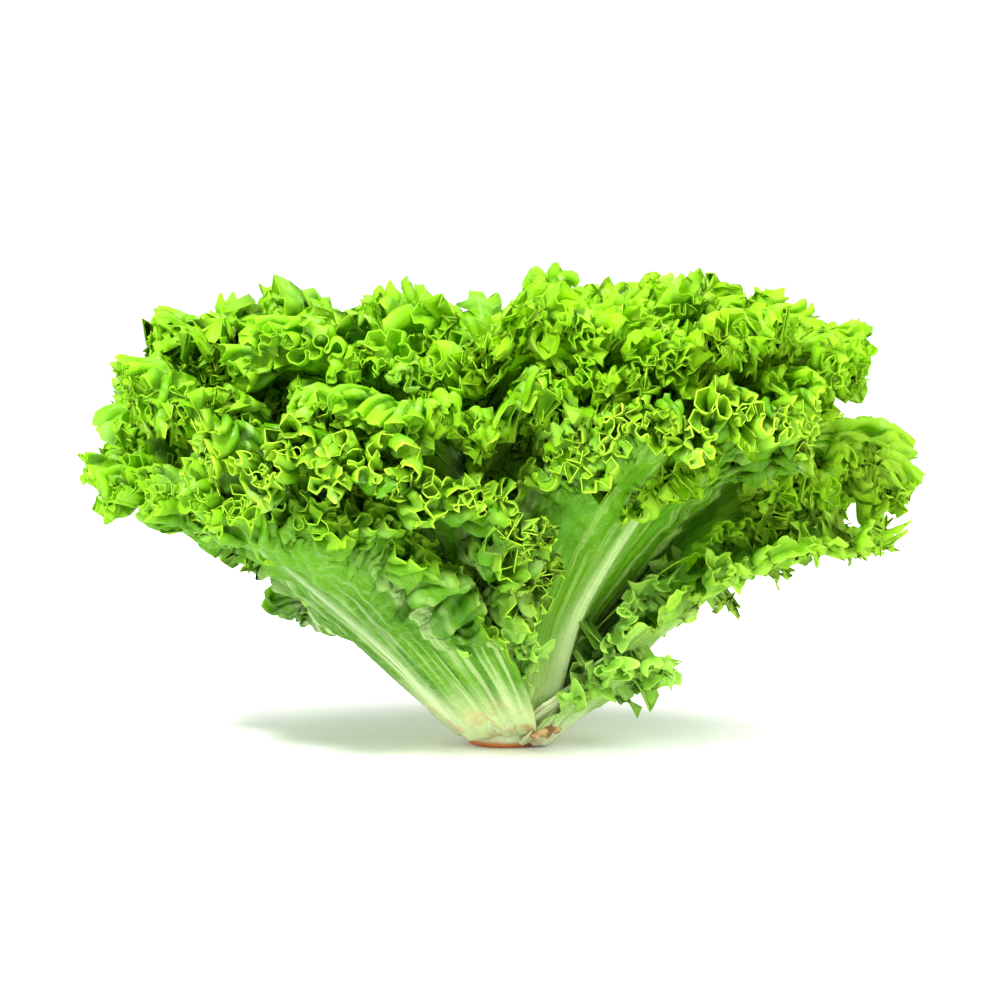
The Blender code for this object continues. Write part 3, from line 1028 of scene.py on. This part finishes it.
@dataclass
class CutStem:
    """Core of the head with its cut foot."""

    crown: Crown
    sides: int = 144
    stub_from: float = -66.0
    stub_to: float = -24.0
    stub_radius: float = 24.0 * MM
    stub_height: float = 5.2 * MM
    stub_size: float = 2.7 * MM
    stub_rise: float = 3.2 * MM
    stub_seed: int = 12
    core_seed: int = 31
    core_unevenness: float = 0.22 * MM
    scar_depth: float = 0.28 * MM
    scar_pitch: float = 2.6 * MM
    finish: StemFinish = field(default_factory=StemFinish)

    def stub(self) -> tuple[Array, list[tuple[int, ...]]]:
        """Torn brown stub of an old leaf base at the front right of the foot.

        Returns:
            Points and faces of a closed body.
        """
        rng = np.random.default_rng(self.stub_seed)
        rings, around = 30, 20
        share = np.linspace(0.0, 1.0, rings)[:, None]
        turn = np.linspace(0.0, 2.0 * math.pi, around, endpoint=False)[None]
        azimuth = np.radians(self.stub_from + (self.stub_to - self.stub_from) * share)
        swell = np.sqrt(np.clip(4.0 * share * (1.0 - share), 0.0, 1.0)) + 0.02
        rough = 1.0 + 0.30 * np.sin(share * 23.0 + turn * 2.0) + rng.uniform(-0.16, 0.16, (rings, around))
        radius = self.stub_radius + self.stub_size * swell * rough * np.cos(turn)
        height = self.stub_height + self.stub_rise * share
        height = height + 0.8 * self.stub_size * swell * rough * np.sin(turn)
        points = np.stack([radius * np.cos(azimuth), radius * np.sin(azimuth), height], axis=-1)
        points = self.crown.squeeze(points).reshape(-1, 3)
        faces = [(second, first, fourth, third) for first, second, third, fourth
                 in ring_faces(rings, around)]
        faces.append(tuple(range(around)))
        faces.append(tuple(range(rings * around - 1, (rings - 1) * around - 1, -1)))
        return points, faces

    def build(self) -> bpy.types.Object:
        """Make the stem core.

        Returns:
            The stem object.
        """
        foot, top = self.crown.foot_radius, float(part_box("cut_stem")[1][2])
        heights = np.concatenate([
            [0.0, 0.0, 0.0, 0.0, 0.25, 0.8, 1.6], np.linspace(3.0, top / MM - 1.6, 26),
            [top / MM - 0.6, top / MM]]) * MM
        radii = np.array([self.crown.stem_radius(height) for height in heights])
        radii[:5] = np.array([0.15, 0.45, 0.75, 0.93, 0.975]) * foot
        radii[-2:] = (1.6 * MM, 0.3 * MM)
        turn = np.linspace(0.0, 2.0 * math.pi, self.sides, endpoint=False)
        rng = np.random.default_rng(self.core_seed)
        ring = sum(rng.uniform(-1, 1) * np.sin(turn * wave + rng.uniform(0, 6)) / wave
                   for wave in range(3, 15))
        scar = np.sin(turn[None] * 5.0 + heights[:, None] / self.scar_pitch) * self.scar_depth
        uneven = ring[None] * self.core_unevenness + scar
        radius = radii[:, None] + uneven * ease(heights[:, None], 0.0, 4.0 * MM)
        points = np.stack([radius * np.cos(turn), radius * np.sin(turn),
                           np.broadcast_to(heights[:, None], radius.shape)], axis=-1)
        points = self.crown.squeeze(points)
        rows, cols = radius.shape
        flat = points.reshape(-1, 3)
        ends = np.array([[0.0, 0.0, 0.0], [0.0, 0.0, top]])
        faces = ring_faces(rows, cols)
        last = (rows - 1) * cols
        faces += [(rows * cols, (col + 1) % cols, col) for col in range(cols)]
        faces += [(rows * cols + 1, last + col, last + (col + 1) % cols) for col in range(cols)]
        torn, torn_faces = self.stub()
        faces += [tuple(corner + len(flat) + 2 for corner in face) for face in torn_faces]
        everything = np.concatenate([flat, ends, torn])
        mesh = bpy.data.meshes.new("stem_core")
        mesh.from_pydata(everything.tolist(), [], faces)
        mesh.shade_smooth()
        store(mesh, "torn", np.arange(len(everything)) >= len(flat) + 2)
        store(mesh, "height", everything[:, 2] / top)
        store(mesh, "flat", everything)
        mesh.materials.append(self.finish.material())
        stem = linked("stem_core", mesh)
        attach(stem, "root")
        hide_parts("cut_stem")
        return stem


# ---------------------------------------------------------------- the head


class Place(IntEnum):
    """Leaves with a shape of their own, by place in the spiral from the outermost."""

    LOW_RAGGED = 0
    LEFT_FAN = 2
    RIGHT_SPREADING = 3
    BACK_LEFT = 4
    FRONT_TONGUE = 5
    LEFT_TIP = 7
    SMALL_RAGGED = 8
    BEHIND_FAN = 10
    RIGHT_END = 11
    FRONT_MIDDLE = 13
    UPPER_FRONT = 18
    UPPER_LEFT = 23
    UPPER_RIGHT = 24


@dataclass
class LettuceHead:
    """All pieces of the head in the order that they grow."""

    crown: Crown = field(default_factory=Crown)
    right_lobe: float = 0.1
    inner_rank: float = 0.6
    heart_rank: float = 0.85
    browned_places: int = 12

    def leaves(self) -> list[Leaf]:
        """Leaves from the outermost to the heart.

        Returns:
            The leaves, not yet built.
        """
        jagged = {"fringe": Fringe.JAGGED, "flare": 2.0 * MM, "columns": 901, "clasp": 0.55}
        spread = {"fringe": Fringe.JAGGED, "flare": 0.0, "columns": 1301}
        special: dict[int, dict[str, Any]] = {
            Place.LOW_RAGGED: dict(
                azimuth=-31.0, reach=0.38, wide=0.40, droop=12.0, lobes=0.46, tooth=4.0 * MM,
                **jagged),
            Place.LEFT_FAN: dict(
                azimuth=220.0, wide=1.05, droop=-11.0, flare=0.0, frill_from=0.33, frill_full=0.54,
                spread_power=0.48, clasp=1.45, cup=8.0 * MM, ridge_height=1.0 * MM,
                vein_height=0.1 * MM),
            Place.RIGHT_SPREADING: dict(
                azimuth=-12.0, reach=0.93, wide=0.60, cup=7.0 * MM, droop=9.0, lobes=0.44,
                tooth=4.0 * MM, **spread),
            Place.BACK_LEFT: dict(wide=0.85, droop=-9.0, flare=0.0, cup=12.0 * MM),
            Place.FRONT_TONGUE: dict(
                azimuth=266.0, reach=0.40, wide=0.26, lobes=0.36, tooth=3.0 * MM, **jagged),
            Place.LEFT_TIP: dict(azimuth=184.0, sag=16.0, flare=2.0 * MM, frill_from=0.48),
            Place.SMALL_RAGGED: dict(
                azimuth=-20.0, reach=0.44, wide=0.42, droop=8.0, lobes=0.46, tooth=4.0 * MM,
                **jagged),
            Place.BEHIND_FAN: dict(azimuth=237.0, droop=-6.0, frill_from=0.22, frill_full=0.50),
            Place.RIGHT_END: dict(azimuth=14.0, reach=1.05, droop=5.0, sag=16.0, fringe=Fringe.FINE),
            Place.FRONT_MIDDLE: dict(
                azimuth=-49.0, fringe=Fringe.FINE, reach=0.98, frill_from=0.62, frill_full=0.84,
                flare=4.0 * MM, rib_height=4.6 * MM, rib_width=4.4 * MM, vein_height=0.08 * MM,
                step_down=11.0 * MM),
            Place.UPPER_FRONT: dict(azimuth=256.0, sag=28.0),
            Place.UPPER_LEFT: dict(sag=12.0),
            Place.UPPER_RIGHT: dict(reach=0.95, fringe=Fringe.FINE),
        }
        result = []
        for place in range(self.crown.leaf_count):
            rank = place / (self.crown.leaf_count - 1)
            options = {"azimuth": math.degrees(self.crown.azimuth(place)), **special.get(place, {})}
            options["azimuth"] = math.radians(options["azimuth"])
            right = math.cos(options["azimuth"])
            if place not in special and right > self.right_lobe:
                options.update(fringe=Fringe.FINE)
            if rank > self.heart_rank:
                options.update(fringe=Fringe.HEART, flare=3.0 * MM, columns=501)
            elif rank > self.inner_rank:
                options.update(columns=801)
            options["finish"] = self.finish(place, right)
            result.append(Leaf(place=place, crown=self.crown, **options))
        return result

    def finish(self, place: int, right: float) -> LeafFinish:
        """Finish of one leaf: yellower and lighter in the right lobe (partly painted light), darker with
        painted shade on the low left fan, the leaf behind it and the front middle leaf, and its own on the
        other leaves that stand out.

        Args:
            place: Place in the spiral.
            right: Cosine of the leaf's direction, 1 at the right end.

        Returns:
            The leaf's finish.
        """
        base = LeafFinish(f"leaf_skin_{place + 1:02d}", shift=place * 1.3)
        # Right lobe: yellower, with lighter blade, back and dark patches; partly the leaves' own colour,
        # partly painted light that thins the lobe's shadows.
        if right > self.right_lobe:
            base = replace(base, blade=(0.32, 0.61, 0.006), back=(0.32, 0.59, 0.006),
                           deep=(0.17, 0.42, 0.005), painted_sheen=(0.60, 0.82, 0.25), glow=(0.52, 0.84, 0.03),
                           light_through=0.54)
        if place in (Place.LOW_RAGGED, Place.RIGHT_SPREADING, Place.FRONT_TONGUE, Place.SMALL_RAGGED):
            base = replace(base, blade=(0.32, 0.62, 0.06), back=(0.38, 0.64, 0.11),
                           margin=(0.58, 0.82, 0.16), deep=(0.20, 0.48, 0.03), glow=(0.55, 0.86, 0.16),
                           light_through=0.5, petiole=(0.44, 0.64, 0.20), streak_end=0.9)
        if place == Place.RIGHT_SPREADING:
            base = replace(base, blade=(0.33, 0.63, 0.02), back=(0.36, 0.64, 0.04),
                           margin=(0.55, 0.80, 0.08), glow=(0.55, 0.86, 0.05))
        # Right end leaf: paler and yellower, partly its own colour, partly painted light on its shaded
        # underside.
        if place == Place.RIGHT_END:
            base = replace(base, blade=(0.42, 0.70, 0.03), back=(0.40, 0.68, 0.03),
                           deep=(0.26, 0.54, 0.01), petiole=(0.36, 0.60, 0.05),
                           glow=(0.60, 0.88, 0.06), light_through=0.6)
        # Low left fan: its pale streaks are its own; the much darker petiole, back, furrows, blade, dark
        # patches and seat are painted shade under the canopy.
        if place == Place.LEFT_FAN:
            base = replace(base, streak_end=0.76, petiole=(0.09, 0.27, 0.004), back=(0.075, 0.24, 0.001),
                           furrow=(0.03, 0.14, 0.003), vein_show=0.1, white_end=0.07,
                           seat=(0.60, 0.72, 0.34), pale_streak=0.75, blade=(0.16, 0.42, 0.003),
                           deep=(0.05, 0.19, 0.001), glow=(0.36, 0.74, 0.01), light_through=0.4)
        # Leaf behind the fan and front middle leaf: dark saturated green, partly their own colour, partly
        # painted shade.
        if place in (Place.BEHIND_FAN, Place.FRONT_MIDDLE):
            base = replace(base, streak_end=0.95, petiole=(0.10, 0.27, 0.003), back=(0.065, 0.20, 0.0),
                           blade=(0.075, 0.24, 0.0), light_through=0.2, vein_show=0.0, net_show=0.0,
                           vein=(0.30, 0.50, 0.08), seat=(0.40, 0.58, 0.16), rib=(0.60, 0.74, 0.34),
                           pale_streak=0.45, white_end=0.05)
        if place < self.browned_places:
            base = replace(base, rust_amount=0.5)
        return base


# ---------------------------------------------------------------- studio


@dataclass
class Studio:
    """Floor, light and camera."""

    elevation: float = 6.0
    distance: float = 1.5
    metres_per_frame: float = 0.353
    base_across: float = 0.505
    base_down: float = 0.742
    room_light: float = 1.1

    def build(self) -> None:
        """Set the floor, the lights and the camera."""
        scene = bpy.context.scene
        scene.view_settings.view_transform = "Standard"
        bpy.ops.mesh.primitive_plane_add(size=16.0, location=(0.0, 0.0, -0.0002))
        floor = bpy.context.object
        floor.name = "floor"
        floor.data.materials.append(FloorFinish().material())
        world = bpy.data.worlds.new("soft_room")
        scene.world = world
        world.use_nodes = True
        background = world.node_tree.nodes["Background"]
        background.inputs[0].default_value = (1.0, 1.0, 1.0, 1.0)
        background.inputs[1].default_value = self.room_light
        self.light("key", (-0.55, -0.75, 1.15), 0.28, 40.0)
        self.light("fill", (0.8, -0.6, 0.9), 0.7, 15.0)
        self.light("top", (0.1, 0.25, 1.3), 0.8, 10.0)
        self.camera()

    def light(self, name: str, place: Point, size: float, power: float) -> None:
        """Add one soft square light aimed at the crown.

        Args:
            name: Name of the light.
            place: Where it stands.
            size: Length of its sides.
            power: Watts.
        """
        data = bpy.data.lights.new(name, "AREA")
        data.size = size
        data.energy = power
        lamp = linked(name, data)
        lamp.location = place
        aim = Vector((0.0, 0.0, 0.08)) - Vector(place)
        lamp.rotation_euler = aim.to_track_quat("-Z", "Y").to_euler()

    def camera(self) -> None:
        """Set the camera so that the foot of the head stands low in the frame."""
        tilt = math.radians(self.elevation)
        back = Vector((0.0, -math.cos(tilt), math.sin(tilt)))
        up = Vector((0.0, math.sin(tilt), math.cos(tilt)))
        aim = Vector(((0.5 - self.base_across) * self.metres_per_frame, 0.0, 0.0))
        aim += up * ((self.base_down - 0.5) * self.metres_per_frame)
        data = bpy.data.cameras.new("camera")
        data.sensor_width = 36.0
        data.lens = 36.0 * self.distance / self.metres_per_frame
        camera = linked("camera", data)
        camera.location = aim + back * self.distance
        camera.rotation_euler = (-back).to_track_quat("-Z", "Y").to_euler()
        bpy.context.scene.camera = camera


def main() -> None:
    """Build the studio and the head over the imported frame, and report each piece."""
    logging.basicConfig(level=logging.INFO, format="%(message)s")
    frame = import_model()
    LOG.info("frame with %d nodes", len(frame["nodes"]))
    Studio().build()
    head = LettuceHead()
    stem = CutStem(head.crown).build()
    LOG.info("%s: %d faces", stem.name, len(stem.data.polygons))
    for leaf in head.leaves():
        piece = leaf.build()
        LOG.info("%s: %d faces", piece.name, len(piece.data.polygons))


if __name__ == "__main__":
    main()
